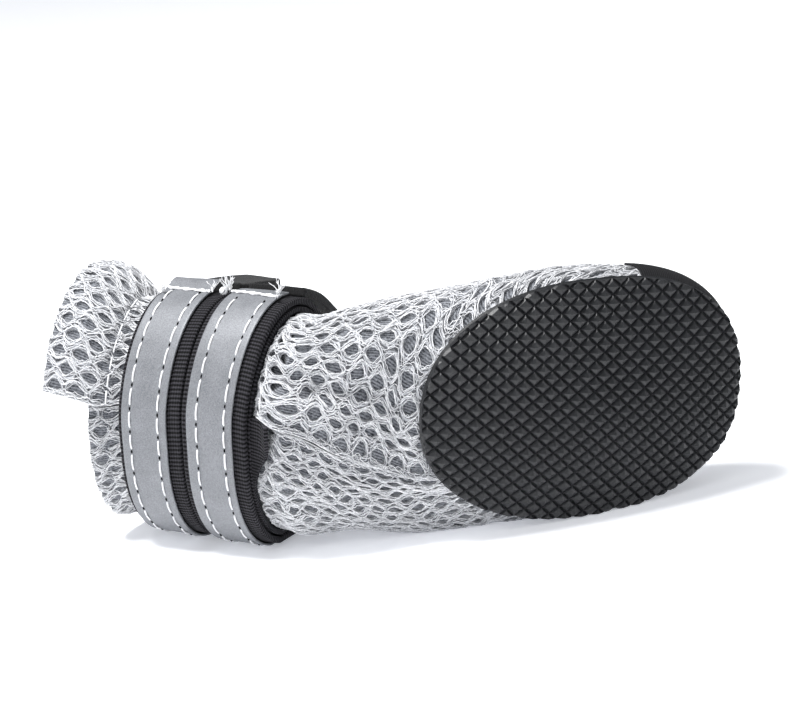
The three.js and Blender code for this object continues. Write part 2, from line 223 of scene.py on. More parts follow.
# Length of mesh from the edge of the straps towards the sole, for each angle after the slit
angleCells, lengthCells = 96, 120
tableAngles = np.linspace(0, 2 * math.pi, angleCells + 1)
tableStations = np.linspace(strapRow, 0, lengthCells + 1)
gridStation, gridAngle = (part.ravel() for part in np.meshgrid(tableStations, tableAngles))
tablePoints = skinPoint(gridStation, slitAngle(gridStation) + gridAngle)
tablePoints = tablePoints.reshape(angleCells + 1, lengthCells + 1, 3)
tableLengths = np.linalg.norm(np.diff(tablePoints, axis=1), axis=2).cumsum(axis=1)
tableLengths = np.hstack((np.zeros((angleCells + 1, 1)), tableLengths))


def rimLength(afterSlit):
    return np.interp(afterSlit % (2 * math.pi), tableAngles, tableLengths[:, -1])


# Cell of the table that an angle falls in, and how far into it
def angleCell(afterSlit):
    place = (afterSlit % (2 * math.pi)) / (2 * math.pi) * angleCells
    low = np.clip(np.floor(place).astype(int), 0, angleCells - 1)
    return low, place - low


def stationAtLength(length, afterSlit):
    low, across = angleCell(afterSlit)
    found = np.empty(len(length))
    for column in range(angleCells):
        here = low == column
        share = across[here]
        for side, weight in ((0, 1 - share), (1, share)):
            values = np.interp(length[here], tableLengths[column + side], tableStations)
            found[here] = values * weight + (found[here] if side else 0)
    return found


def lengthAtStation(station, afterSlit):
    low, across = angleCell(afterSlit)
    step = np.clip((strapRow - station) / strapRow * lengthCells, 0, lengthCells)
    column = np.minimum(np.floor(step).astype(int), lengthCells - 1)
    share = step - column
    first = tableLengths[low, column] * (1 - share) + tableLengths[low, column + 1] * share
    second = tableLengths[low + 1, column] * (1 - share) + tableLengths[low + 1, column + 1] * share
    return first * (1 - across) + second * across


# Soft folds of the mesh between straps and sole: lengths in mm from the straps, angles after the slit
foldRadius = 21.0
foldColumns = ("from", "to", "width", "depth")
foldTable = [
    ((0, 30), (9, 22), 1.7, -1.3),
    ((9, 22), (18, 27), 1.3, -1.1),
    ((18, 27), (29, 31), 1.2, -0.9),
    ((1, 13), (14, 12), 3.0, 0.8),
    ((2, 46), (16, 43), 4.0, 0.9),
    ((29, 26), (20, 24), 0.7, -0.5),
    ((29, 19), (19, 19), 0.7, -0.55),
    ((29, 13), (18, 13), 0.7, -0.55),
    ((29, 7), (20, 8), 0.7, -0.45),
    ((0, 66), (12, 62), 1.3, -0.7),
    ((0, 82), (16, 75), 1.7, -0.6),
    ((6, 343), (22, 351), 1.6, -0.7),
    ((2, 330), (16, 337), 2.4, 0.6),
    ((0, 312), (14, 321), 1.5, -0.7),
]


def foldHeight(length, afterSlit):
    x, y = length, afterSlit * foldRadius
    height = np.zeros(len(x))
    for values in foldTable:
        fold = dict(zip(foldColumns, values))
        startX, startY = fold["from"][0], fold["from"][1] * degrees * foldRadius
        runX = fold["to"][0] - startX
        runY = fold["to"][1] * degrees * foldRadius - startY
        share = np.clip(((x - startX) * runX + (y - startY) * runY) / (runX ** 2 + runY ** 2), 0, 1)
        away = np.hypot(x - startX - share * runX, y - startY - share * runY)
        height += fold["depth"] * np.exp(-(away / fold["width"]) ** 2)
    return height * smoothStep(length / 2 + 0.2) * smoothStep((rimLength(afterSlit) - length) / 2)


print("camera and light")
view = {
    "elevation": 15, "roll": -5.2, "distance": 600, "focal": 3360, "width": 794,
    "aim": (1.328, -13.069, 35.057), "sensor": 36,
}


def addCamera():
    height, roll = view["elevation"] * degrees, view["roll"] * degrees
    right = Vector((1, 0, 0))
    up = Vector((0, math.sin(height), math.cos(height)))
    back = Vector((0, -math.cos(height), math.sin(height)))
    turned = [
        right * math.cos(roll) + up * math.sin(roll),
        up * math.cos(roll) - right * math.sin(roll),
        back,
    ]
    camera = bpy.data.objects.new("camera", bpy.data.cameras.new("camera"))
    camera.data.sensor_width = view["sensor"]
    camera.data.lens = view["sensor"] * view["focal"] / view["width"]
    camera.data.clip_start = 0.01
    for column, axis in enumerate(turned):
        for row in range(3):
            camera.matrix_world[row][column] = axis[row]
    camera.matrix_world.translation = (Vector(view["aim"]) + back * view["distance"]) * mm
    bpy.context.collection.objects.link(camera)
    bpy.context.scene.camera = camera


addCamera()

lights = {
    "overhead": {"at": (-0.20, -0.08, 0.60), "size": 0.24, "power": 7.0, "tint": "ffffff"},
    "front": {"at": (-0.30, -0.60, 0.42), "size": 0.45, "power": 1.5, "tint": "fbfcff"},
    "side": {"at": (0.62, -0.22, 0.30), "size": 0.30, "power": 1.0, "tint": "ffffff"},
}
studio = {"tint": "f4f7fb", "strength": 0.30, "lampAim": (0, 0, 0.02)}


def linear(code):
    values = [int(code[start:start + 2], 16) / 255 for start in (0, 2, 4)]
    values = [v / 12.92 if v <= 0.04045 else ((v + 0.055) / 1.055) ** 2.4 for v in values]
    return (*values, 1)


def addLights():
    for name, light in lights.items():
        lamp = bpy.data.lights.new(name, "AREA")
        lamp.shape = "DISK"
        lamp.size, lamp.energy = light["size"], light["power"]
        lamp.color = linear(light["tint"])[:3]
        holder = bpy.data.objects.new(name, lamp)
        holder.location = light["at"]
        aim = Vector(studio["lampAim"]) - Vector(light["at"])
        holder.rotation_euler = aim.to_track_quat("-Z", "Y").to_euler()
        bpy.context.collection.objects.link(holder)
    world = bpy.data.worlds.new("studio")
    world.use_nodes = True
    background = world.node_tree.nodes["Background"]
    background.inputs["Color"].default_value = linear(studio["tint"])
    background.inputs["Strength"].default_value = studio["strength"]
    bpy.context.scene.world = world
    # A product photo: white stays white
    bpy.context.scene.view_settings.view_transform = "Standard"


addLights()

print("materials")


def addNode(material, kind, settings=None, links=None):
    node = material.node_tree.nodes.new(kind)
    for key, value in (settings or {}).items():
        if isinstance(key, int) or key in node.inputs:
            node.inputs[key].default_value = value
        else:
            setattr(node, key, value)
    for socket, source in (links or {}).items():
        material.node_tree.links.new(source, node.inputs[socket])
    return node


def startMaterial(name, settings):
    material = bpy.data.materials.new(name)
    material.use_nodes = True
    shader = material.node_tree.nodes["Principled BSDF"]
    for key, value in settings.items():
        shader.inputs[key].default_value = value
    return material, shader


# Noise in the piece's own space: size is that of its grain in mm
def addNoise(material, coords, size, detail, roughness=0.5):
    return addNode(material, "ShaderNodeTexNoise", {
        "Scale": 1 / (size * mm), "Detail": detail, "Roughness": roughness},
        {"Vector": coords.outputs["Object"]})


# End of each material: a tone mixes its two colours, and a height raises its surface by depth in mm
def addSurface(material, shader, tone, shade, light, height, depth):
    colour = addNode(material, "ShaderNodeMix", {
        "data_type": "RGBA", 6: linear(shade), 7: linear(light)}, {0: tone})
    bump = addNode(material, "ShaderNodeBump", {
        "Strength": 1.0, "Distance": depth * mm}, {"Height": height})
    material.node_tree.links.new(colour.outputs[2], shader.inputs["Base Color"])
    material.node_tree.links.new(bump.outputs["Normal"], shader.inputs["Normal"])


# Polyester yarn of the air mesh net, matt, in loose bundles that bend round each hole. The yarn itself is
# bright white; its two colours here are painted shade, greyed in stripes so that the net under the loose
# filaments reads as the shade in the gaps between them
netShadeLook = {
    "light": "b6b8bd", "shade": "33353a", "strands": 3.2, "wander": 1.3, "fuzz": 1.6, "fibre": 0.16,
    "bump": 0.35,
}


def makeNetYarnShade():
    material, shader = startMaterial("netYarnPaintedShade", {
        "Roughness": 0.72, "Sheen Weight": 0.35, "Sheen Roughness": 0.5, "Specular IOR Level": 0.3})
    coords = addNode(material, "ShaderNodeTexCoord")
    strand = addNode(material, "ShaderNodeAttribute", {"attribute_name": "strand"})
    wander = addNoise(material, coords, netShadeLook["wander"], 2.0)
    place = addNode(material, "ShaderNodeMath", {"operation": "MULTIPLY_ADD", 1: netShadeLook["strands"]},
                    {0: strand.outputs["Fac"], 2: wander.outputs["Fac"]})
    turn = addNode(material, "ShaderNodeMath", {"operation": "MULTIPLY", 1: 2 * math.pi},
                   {0: place.outputs[0]})
    wave = addNode(material, "ShaderNodeMath", {"operation": "SINE"}, {0: turn.outputs[0]})
    fibre = addNoise(material, coords, netShadeLook["fibre"], 1.0, 0.6)
    mixed = addNode(material, "ShaderNodeMath", {"operation": "MULTIPLY_ADD", 1: netShadeLook["fuzz"]},
                    {0: fibre.outputs["Fac"], 2: wave.outputs[0]})
    tone = addNode(material, "ShaderNodeMapRange", {"From Min": -0.35, "From Max": 1.0},
                   {"Value": mixed.outputs[0]}).outputs["Result"]
    addSurface(material, shader, tone, netShadeLook["shade"], netShadeLook["light"], tone, netShadeLook["bump"])
    return material


# Grey knitted back of the air mesh: a fine tricot face, matt, seen through the holes and inside the boot
knitLook = {
    "light": "8c8f95", "shade": "33353a", "waleScale": 0.7349214, "waleShare": 0.3, "grain": 0.5,
    "bump": 0.12,
}


def makeKnit():
    material, shader = startMaterial("tricotBack", {
        "Roughness": 0.85, "Sheen Weight": 0.2, "Specular IOR Level": 0.2})
    coords = addNode(material, "ShaderNodeTexCoord")
    wale = addNode(material, "ShaderNodeTexWave", {
        "wave_type": "BANDS", "bands_direction": "Y", "Scale": knitLook["waleScale"],
        "Distortion": 2.5, "Detail": 2.0, "Detail Scale": 1.6}, {"Vector": coords.outputs["UV"]})
    grain = addNoise(material, coords, knitLook["grain"], 3.0, 0.7)
    mixed = addNode(material, "ShaderNodeMath", {"operation": "MULTIPLY_ADD", 1: knitLook["waleShare"]},
                    {0: wale.outputs["Fac"], 2: grain.outputs["Fac"]})
    tone = addNode(material, "ShaderNodeMapRange", {"From Min": 0.42, "From Max": 0.88},
                   {"Value": mixed.outputs[0]}).outputs["Result"]
    addSurface(material, shader, tone, knitLook["shade"], knitLook["light"], tone, knitLook["bump"])
    return material


# Moulded rubber: near black, a satin bloom that is duller in patches, with a fine pebble from the mould
rubberLook = {
    "dark": "141517", "light": "202124", "bloom": 9, "roughness": (0.34, 0.52), "pebble": 0.3, "bump": 0.03,
}


def makeRubber():
    material, shader = startMaterial("mouldedRubber", {"Specular IOR Level": 0.38, "IOR": 1.52})
    coords = addNode(material, "ShaderNodeTexCoord")
    bloom = addNoise(material, coords, rubberLook["bloom"], 4.0, 0.65).outputs["Fac"]
    pebble = addNoise(material, coords, rubberLook["pebble"], 1.0).outputs["Fac"]
    low, high = rubberLook["roughness"]
    rough = addNode(material, "ShaderNodeMapRange", {"To Min": low, "To Max": high}, {"Value": bloom})
    material.node_tree.links.new(rough.outputs["Result"], shader.inputs["Roughness"])
    addSurface(material, shader, bloom, rubberLook["dark"], rubberLook["light"], pebble,
               rubberLook["bump"])
    return material


# Woven black cloth; rib is the spacing of its cross ribs in mm and weave that of its lengthwise threads
def makeWoven(name, dark, light, rib, weave, depth, roughness):
    material, shader = startMaterial(name, {
        "Roughness": roughness, "Sheen Weight": 0.02, "Sheen Roughness": 0.4, "Specular IOR Level": 0.12})
    coords = addNode(material, "ShaderNodeTexCoord")
    parts = addNode(material, "ShaderNodeSeparateXYZ", None, {"Vector": coords.outputs["UV"]})
    grain = addNoise(material, coords, 0.3, 2.0)
    waves = []
    for socket, spacing in (("Y", rib), ("X", weave)):
        turned = addNode(material, "ShaderNodeMath", {"operation": "MULTIPLY_ADD", 1: 2 * math.pi / spacing},
                         {0: parts.outputs[socket], 2: grain.outputs["Fac"]})
        waves.append(addNode(material, "ShaderNodeMath", {"operation": "SINE"}, {0: turned.outputs[0]}))
    both = addNode(material, "ShaderNodeMath", {"operation": "MULTIPLY_ADD", 1: 0.4},
                   {0: waves[1].outputs[0], 2: waves[0].outputs[0]})
    tone = addNode(material, "ShaderNodeMapRange", {"From Min": -0.8, "From Max": 1.4},
                   {"Value": both.outputs[0]}).outputs["Result"]
    addSurface(material, shader, tone, dark, light, tone, depth)
    return material


# Plain surfaces with a grain of their own, its size in mm, under faint patches many times as wide
def makeGrained(name, dark, light, grainSize, depth, settings):
    material, shader = startMaterial(name, settings)
    coords = addNode(material, "ShaderNodeTexCoord")
    grain = addNoise(material, coords, grainSize, 3.0, 0.6).outputs["Fac"]
    patch = addNoise(material, coords, grainSize * 18, 2.0).outputs["Fac"]
    both = addNode(material, "ShaderNodeMath", {"operation": "MULTIPLY_ADD", 1: 0.25}, {0: patch, 2: grain})
    tone = addNode(material, "ShaderNodeMapRange", {"From Min": 0.4, "From Max": 0.85},
                   {"Value": both.outputs[0]}).outputs["Result"]
    addSurface(material, shader, tone, dark, light, grain, depth)
    return material


# Net yarn with painted shade: darker than the white filaments laid over it
netYarnPaintedShade = makeNetYarnShade()
tricotBack = makeKnit()
mouldedRubber = makeRubber()
# Nylon grosgrain: tight cross ribs 0.64 mm apart
nylonGrosgrain = makeWoven("nylonGrosgrain", "09090a", "3d3c41", 0.64, 0.55, 0.26, 0.8)
# Plain woven black cloth of the toe cap
wovenPolyester = makeWoven("wovenPolyester", "0a0a0b", "29292c", 0.36, 0.36, 0.08, 0.8)
# Brushed hook-and-loop back: a matt black nap
brushedNylon = makeGrained("brushedNylon", "030304", "161618", 0.32, 0.22, {
    "Roughness": 0.95, "Sheen Weight": 0.12, "Sheen Roughness": 0.6, "Specular IOR Level": 0.15})
# Retroreflective tape: satin grey film of fine glass beads
reflectiveFilm = makeGrained("reflectiveFilm", "5c5e62", "84868a", 0.22, 0.03, {
    "Roughness": 0.5, "Metallic": 0.15, "Specular IOR Level": 0.35})
# Spun polyester sewing thread, white
sewingThread = makeGrained("sewingThread", "cbccd0", "f2f2f2", 0.12, 0.03, {
    "Roughness": 0.7, "Sheen Weight": 0.3, "Specular IOR Level": 0.3})
# Loose polyester filaments of the mesh, near white, a little silky
meshFilament = makeGrained("meshFilament", "adafb3", "f1f1f3", 0.35, 0.02, {
    "Roughness": 0.6, "Sheen Weight": 0.2, "Specular IOR Level": 0.35})
# Painted shade of a needle hole: near-black colour for the short threads laid on the tape where a hole's
# shaded bottom shows
needleHoleShade = makeGrained("needleHoleShade", "060606", "121213", 0.2, 0.01, {
    "Roughness": 0.95, "Specular IOR Level": 0.1})
# Foam sheet of the insole
foamSheet = makeGrained("foamSheet", "4b4d52", "65676b", 0.35, 0.08, {
    "Roughness": 0.95, "Specular IOR Level": 0.15})
# Matt white paper sweep under the boot
paperSweep = makeGrained("paperSweep", "fbfcfe", "ffffff", 6.0, 0.0, {
    "Roughness": 0.9, "Specular IOR Level": 0.1,
    "Emission Color": linear("f4f7ff"), "Emission Strength": 0.35})

print("pieces")


def finishPiece(name, shape, material, hides=()):
    mesh = shape
    if isinstance(shape, bmesh.types.BMesh):
        mesh = bpy.data.meshes.new(name)
        shape.to_mesh(mesh)
        shape.free()
    mesh.materials.clear()
    mesh.materials.append(material)
    mesh.polygons.foreach_set("use_smooth", [True] * len(mesh.polygons))
    piece = bpy.data.objects.new(name, mesh)
    bpy.context.collection.objects.link(piece)
    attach(piece, "root")
    if hides:
        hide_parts(*hides)
    return piece


# A flat grid, 0 to 1 both ways, bent to its place by bend(across, around); cloth is its size in mm
def bentSheet(steps, bend, cloth, closed):
    sheet = bmesh.new()
    bmesh.ops.create_grid(sheet, x_segments=steps[0], y_segments=steps[1], size=0.5)
    flat = np.array([vert.co[:2] for vert in sheet.verts]) + 0.5
    weave = sheet.loops.layers.uv.new("UVMap")
    for face in sheet.faces:
        for loop in face.loops:
            across, around = flat[loop.vert.index]
            loop[weave].uv = (across * cloth[0], around * cloth[1])
    for vert, point in zip(sheet.verts, toWorld(bend(flat[:, 0], flat[:, 1]))):
        vert.co = point
    if closed:
        bmesh.ops.remove_doubles(sheet, verts=sheet.verts, dist=0.01 * mm)
    bmesh.ops.reverse_faces(sheet, faces=sheet.faces)
    return sheet


# A bent sheet with the steps, thickness and soft edge that its dictionary states
def addCloth(name, look, bend, cloth, material, hides=(), closed=False):
    piece = finishPiece(name, bentSheet(look["steps"], bend, cloth, closed), material, hides)
    solid = piece.modifiers.new("thickness", "SOLIDIFY")
    solid.thickness, solid.offset, solid.use_even_offset = look["thickness"] * mm, -1, False
    if look["edge"]:
        bevel = piece.modifiers.new("softEdge", "BEVEL")
        bevel.width, bevel.segments = look["edge"] * mm, 2
        bevel.limit_method, bevel.angle_limit = "ANGLE", 60 * degrees


# Threads, kept over the floor: each path is a list of (point in metres, share of the radius)
def threadPiece(name, paths, radius, material):
    curve = bpy.data.curves.new(name, "CURVE")
    curve.dimensions, curve.use_fill_caps = "3D", False
    curve.bevel_depth, curve.bevel_resolution = radius * mm, 0
    for path in paths:
        spline = curve.splines.new("POLY")
        spline.points.add(len(path) - 1)
        for knot, (point, share) in zip(spline.points, path):
            knot.co = (point[0], point[1], max(point[2], radius * share * mm), 1)
            knot.radius = share
    holder = bpy.data.objects.new(name + "Path", curve)
    bpy.context.collection.objects.link(holder)
    bpy.context.view_layer.update()
    mesh = bpy.data.meshes.new_from_object(holder.evaluated_get(bpy.context.evaluated_depsgraph_get()))
    bpy.data.objects.remove(holder)
    mesh.name = name
    finishPiece(name, mesh, material)


# Sole: the moulded solid keeps its shape, and four-sided studs, shouldered halfway up, lie on its tread
tread = {
    "cells": 44, "diagonalAlong": 3.42, "diagonalAcross": 2.85, "height": 0.9, "turn": 3.0, "proud": 0.06,
    "inset": 0.12, "side": 0.32, "shoulder": 0.5, "overEdge": 1.03, "edgeHeight": 0.8, "clearance": 0.02,
}


def addTread():
    studs = bmesh.new()
    bmesh.ops.create_grid(
        studs, x_segments=tread["cells"], y_segments=tread["cells"], size=tread["cells"] / 2)
    turn = tread["turn"] * degrees
    halfLength, halfWidth = sole["length"] / 2 - tread["inset"], sole["width"] / 2 - tread["inset"]

    def edgeShare(point):
        squareness = sole["toeSquareness"] if point.x > 0 else sole["heelSquareness"]
        reach = abs(point.x / halfLength) ** squareness + abs(point.y / halfWidth) ** squareness
        return reach ** (1 / squareness)

    for vert in studs.verts:
        along = (vert.co.x + vert.co.y) * tread["diagonalAlong"] / 2
        across = (vert.co.x - vert.co.y) * tread["diagonalAcross"] / 2
        vert.co = (along * math.cos(turn) - across * math.sin(turn),
                   along * math.sin(turn) + across * math.cos(turn), 0)
    outside = [face for face in studs.faces if edgeShare(face.calc_center_median()) > tread["overEdge"]]
    bmesh.ops.delete(studs, geom=outside, context="FACES")
    tops = list(studs.faces)
    bmesh.ops.inset_individual(studs, faces=tops, thickness=tread["side"], use_even_offset=True)
    for face in tops:
        for vert in face.verts:
            vert.co.z = tread["height"] * tread["shoulder"]
    peaks = bmesh.ops.poke(studs, faces=tops, center_mode="MEAN")["verts"]
    for vert in peaks:
        vert.co.z = tread["height"]
    bmesh.ops.subdivide_edges(studs, edges=studs.edges, cuts=1, use_grid_fill=True)
    for vert in studs.verts:
        share = edgeShare(vert.co)
        if share > 1:
            vert.co.x, vert.co.y = vert.co.x / share, vert.co.y / share
            vert.co.z *= tread["edgeHeight"]
        foot = sole["treadHeight"] + soleRise(vert.co.x, vert.co.y) - tread["proud"]
        point = np.array([[vert.co.x, vert.co.y, foot - vert.co.z]])
        vert.co = toWorld(layOnFloor(point, np.array([tread["clearance"]])))[0]
    bmesh.ops.dissolve_degenerate(studs, edges=studs.edges, dist=0.01 * mm)
    bmesh.ops.reverse_faces(studs, faces=studs.faces)
    piece = finishPiece("studded_tread", studs, mouldedRubber)
    for polygon in piece.data.polygons:
        polygon.use_smooth = False


addTread()
for name, material in (("outsole", mouldedRubber), ("insole", foamSheet)):
    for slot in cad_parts[name].material_slots:
        slot.material = material

print("mesh of the upper")


def collarLength(afterSlit):
    angle = (sections[-1]["slit"] * degrees + afterSlit) / degrees
    inFlap = 1 - smoothStep((angle - wrap["flapEnd"]) / wrap["flapFade"])
    return wrap["cuff"] + (wrap["flap"] - wrap["cuff"]) * inFlap


# The knitted back laps over itself a little at the slit
upper = {
    "netDepth": 0.75, "thickness": 1.05, "edge": 0, "steps": (130, 140), "cloth": (95, 120),
    "turn": 2 * math.pi + 0.15,
}


def bendBack(across, around):
    afterSlit = around * upper["turn"]
    start = stationAlong(strapZone)
    end = stationAlong(strapZone + collarLength(afterSlit))
    station = across * lastStation
    stretched = start + (station - start) * (end - start) / (lastStation - start)
    station = np.where(station > start, stretched, station)
    lift = foldHeight(lengthAtStation(station, afterSlit), afterSlit)
    return layerPoint(station, afterSlit, lift - upper["netDepth"])


addCloth("knitted_back", upper, bendBack, upper["cloth"], tricotBack, ["upper"])

# Open net: it starts under the straps, puffs out over their edge and stops at the sole
net = {
    "pitch": 4.1, "rows": 46, "rowPitch": 2.85, "zigzag": 6, "rib": 0.84, "lipDepth": 0.32, "wallDepth": 0.4,
    "under": 0.16, "strapTuck": 0.6, "cuffTuck": 0.9, "ahead": 2.0, "spare": 0.2, "slit": 0.03,
    "puff": 1.5, "puffAt": 0.9, "puffOver": 1.9, "puffAngles": (35, 80),
}


# Honeycomb of holes in a flat sheet of yarn so many mm long; z is 0 on the yarn and below it on the lips
def flatNet(length):
    columns, rows = 2 * math.ceil(length / net["pitch"]) + 2, net["rows"]
    sheet = bmesh.new()
    bmesh.ops.create_grid(sheet, x_segments=columns, y_segments=rows, size=0.5)
    joins = []
    for vert in sheet.verts:
        vert.co = (round((vert.co.x + 0.5) * columns), round((vert.co.y + 0.5) * rows), 0)
    for edge in sheet.edges:
        low = min(edge.verts, key=lambda vert: vert.co.y)
        upright = abs(edge.verts[0].co.x - edge.verts[1].co.x) < 0.1
        inside = 0 < low.co.x < columns
        if upright and inside and (low.co.x + low.co.y) % 2 == 1:
            joins.append(edge)
    for vert in sheet.verts:
        side = 1 if (vert.co.x + vert.co.y) % 2 == 0 else -1
        shift = side / net["zigzag"] if 0 < vert.co.y < rows else 0
        vert.co = (vert.co.x * net["pitch"] / 2, (vert.co.y + shift) * net["rowPitch"], 0)
    bmesh.ops.dissolve_edges(sheet, edges=joins, use_verts=False)
    holes = [face for face in sheet.faces if len(face.verts) >= 5]
    bmesh.ops.inset_individual(sheet, faces=holes, thickness=net["rib"])
    for face in holes:
        for vert in face.verts:
            vert.co.z = -net["lipDepth"]
    bmesh.ops.delete(sheet, geom=holes, context="FACES_ONLY")
    flat = bpy.data.meshes.new("flatNet")
    sheet.to_mesh(flat)
    sheet.free()
    holder = bpy.data.objects.new("flatNet", flat)
    bpy.context.collection.objects.link(holder)
    smooth = holder.modifiers.new("smooth", "SUBSURF")
    smooth.levels = smooth.render_levels = 2
    bpy.context.view_layer.update()
    finer = bpy.data.meshes.new_from_object(holder.evaluated_get(bpy.context.evaluated_depsgraph_get()))
    bpy.data.objects.remove(holder)
    sheet = bmesh.new()
    sheet.from_mesh(finer)
    bpy.data.meshes.remove(finer)
    return sheet


# Cuts the flat net to size, gives its holes walls and bends it to its place
def addNet(name, length, keep, bend, flip):
    sheet = flatNet(length)
    centres = np.array([face.calc_center_median()[:2] for face in sheet.faces])
    kept = keep(centres[:, 0], centres[:, 1])
    spare = [face for face, good in zip(sheet.faces, kept) if not good]
    bmesh.ops.delete(sheet, geom=spare, context="FACES")
    lips = [edge for edge in sheet.edges
            if edge.is_boundary and max(vert.co.z for vert in edge.verts) < -net["lipDepth"] * 0.6]
    for part in bmesh.ops.extrude_edge_only(sheet, edges=lips)["geom"]:
        if isinstance(part, bmesh.types.BMVert):
            part.co.z -= net["wallDepth"]
    strand = sheet.verts.layers.float.new("strand")
    flat = np.array([vert.co[:] for vert in sheet.verts])
    for vert, point in zip(sheet.verts, toWorld(bend(flat[:, 0], flat[:, 1], flat[:, 2]))):
        vert[strand] = min(max(1 + vert.co.z / net["lipDepth"], 0), 1)
        vert.co = point
    bmesh.ops.dissolve_degenerate(sheet, edges=sheet.edges, dist=0.003 * mm)
    if flip:
        bmesh.ops.reverse_faces(sheet, faces=sheet.faces)
    piece = finishPiece(name, sheet, netYarnPaintedShade)
    print(name, len(piece.data.polygons), "faces")


netWidth = net["rows"] * net["rowPitch"]
netTurn = (2 * math.pi - net["slit"]) / netWidth
hemLine = {
    "along": 4.3, "angles": (190, 268), "pitch": 3.2, "dash": 2.3, "radius": 0.17, "height": 0.25,
    "rise": 0.3, "dent": -0.7, "dentOver": 0.9,
}
# How far the holes stray in mm, slowly and quickly, how hard the mesh leans, and where it is gathered
uneven = {
    "slow": 0.30, "quick": 0.12, "leanLow": 0.20, "leanHigh": 0.10, "gather": 0.45, "gatherAt": 6,
    "gatherOver": 7,
}


# The knit is never quite even: its holes drift, lean with the pull of the straps and crowd at the slit
def drift(x, y):
    slow, quick, fromEnd = uneven["slow"], uneven["quick"], netWidth - y
    edge = smoothStep(y / 4) * smoothStep(fromEnd / 4)
    driftX = slow * np.sin(0.55 * y + 0.3 * x + 1) + quick * np.sin(1.3 * y - 0.9 * x)
    driftY = slow * np.sin(0.45 * x + 0.35 * y) + quick * np.sin(1.1 * x + 0.8 * y + 2)
    lower = uneven["leanLow"] * x * smoothStep((y - 85) / 20) * smoothStep(fromEnd / 14)
    higher = uneven["leanHigh"] * x * smoothStep((y - 12) / 15) * smoothStep((80 - y) / 30)
    away = y - uneven["gatherAt"]
    gather = smoothStep((x - 14) / 9) * uneven["gather"] * np.exp(-(away / uneven["gatherOver"]) ** 2)
    return x + driftX, y + (driftY + lower + higher) * edge - gather * smoothStep(y / 3) * away


def bendFootNet(x, y, z):
    x, y = drift(x, y)
    afterSlit = y * netTurn
    length = np.clip(x - net["strapTuck"] - net["ahead"], -net["ahead"], rimLength(afterSlit))
    underStrap = stationAlong(shaftTable[1][0] + np.maximum(-length, 0))
    station = np.where(length < 0, underStrap, stationAtLength(length, afterSlit))
    puff = net["puff"] * np.exp(-((length - net["puffAt"]) / net["puffOver"]) ** 2)
    low, high = net["puffAngles"]
    puff = puff * (1 - smoothStep((afterSlit / degrees - low) / (high - low)))
    return layerPoint(station, afterSlit, z + foldHeight(length, afterSlit) + puff - net["under"])


def keepFootNet(x, y):
    x, y = drift(x, y)
    return x - net["strapTuck"] - net["ahead"] < rimLength(y * netTurn) + net["spare"]


def bendCuffNet(x, y, z):
    afterSlit = y * netTurn
    along = strapZone - net["cuffTuck"] + np.clip(x, 0, net["cuffTuck"] + collarLength(afterSlit))
    hem = hemLine["dent"] * np.exp(-((along - strapZone - hemLine["along"]) / hemLine["dentOver"]) ** 2)
    return layerPoint(stationAlong(along), afterSlit, z + hem - net["under"])


def keepCuffNet(x, y):
    return x < net["cuffTuck"] + collarLength(y * netTurn) + net["spare"]


# Filaments of the mesh: each bundle of the net carries several, which fan out at the joins and wander
yarn = {
    "strands": 9, "radius": 0.078, "step": 0.45, "spread": 0.86, "join": 0.3, "wander": 0.16, "height": 0.14,
    "swell": 0.14, "stray": 0.45, "limit": 1.1, "shares": (0.75, 1.15), "fewest": 3,
}


def strandPaths(rows, length, keep, bend):
    x = np.arange(0, length, yarn["step"])
    flat = []
    for row in rows:
        inner = 1 if 0 < row < net["rows"] else 0
        wave = np.cos((x / net["pitch"] * 2 + row) * math.pi)
        for strand in range(yarn["strands"]):
            phases = [random.uniform(0, 2 * math.pi) for _ in range(5)]
            stray = yarn["stray"] * np.sin(x / random.uniform(1.0, 1.9) + phases[0])
            place = 2 * strand / (yarn["strands"] - 1) - 1 + stray
            place = np.clip(place, -yarn["limit"], yarn["limit"])
            fan = yarn["join"] * np.maximum(wave * np.sign(place), 0) ** 2
            y = (row + inner * wave / net["zigzag"]) * net["rowPitch"]
            y = y + place * (yarn["spread"] + fan * inner)
            y = y + yarn["wander"] * np.sin(x * random.uniform(2.0, 3.6) + phases[1])
            y = y + yarn["wander"] * 0.6 * np.sin(x * random.uniform(4.5, 7.0) + phases[2])
            y = np.clip(y, 0, netWidth)
            swell = np.sin(x * random.uniform(0.9, 2.2) + phases[3]) - place ** 2
            z = yarn["height"] + yarn["swell"] * swell
            kept = keep(x, y)
            count = len(x) if kept.all() else int(np.argmin(kept))
            if count > yarn["fewest"]:
                flat.append((x[:count], y[:count], z[:count], random.uniform(*yarn["shares"])))
    joined = [np.concatenate([part[index] for part in flat]) for index in range(3)]
    points = toWorld(bend(*joined))
    paths, start = [], 0
    for part in flat:
        end = start + len(part[0])
        paths.append([(point, part[3]) for point in points[start:end]])
        start = end
    return paths


meshReach = tableLengths[:, -1].max() + net["ahead"]
cuffReach = wrap["flap"] + 3
half = net["rows"] // 2
quarter = net["rows"] // 4
rowSets = ((0, quarter), (quarter, half), (half, half + quarter), (half + quarter, net["rows"] + 1))
for index, (low, high) in enumerate(rowSets):
    paths = strandPaths(range(low, high), meshReach, keepFootNet, bendFootNet)
    threadPiece("foot_filaments_%d" % (index + 1), paths, yarn["radius"], meshFilament)
paths = strandPaths(range(net["rows"] + 1), cuffReach, keepCuffNet, bendCuffNet)
threadPiece("cuff_filaments", paths, yarn["radius"], meshFilament)

# Both nets take the yarn with painted shade, which stands in for the shade between the filaments
addNet("air_mesh_foot", meshReach, keepFootNet, bendFootNet, False)
addNet("air_mesh_cuff", cuffReach, keepCuffNet, bendCuffNet, True)

print("straps and tapes")


def bendBand(start, end, height):
    def bend(across, around):
        station = stationAlong(start + (end - start) * across)
        return layerPoint(station, around * 2 * math.pi, np.full(len(across), height), True)
    return bend


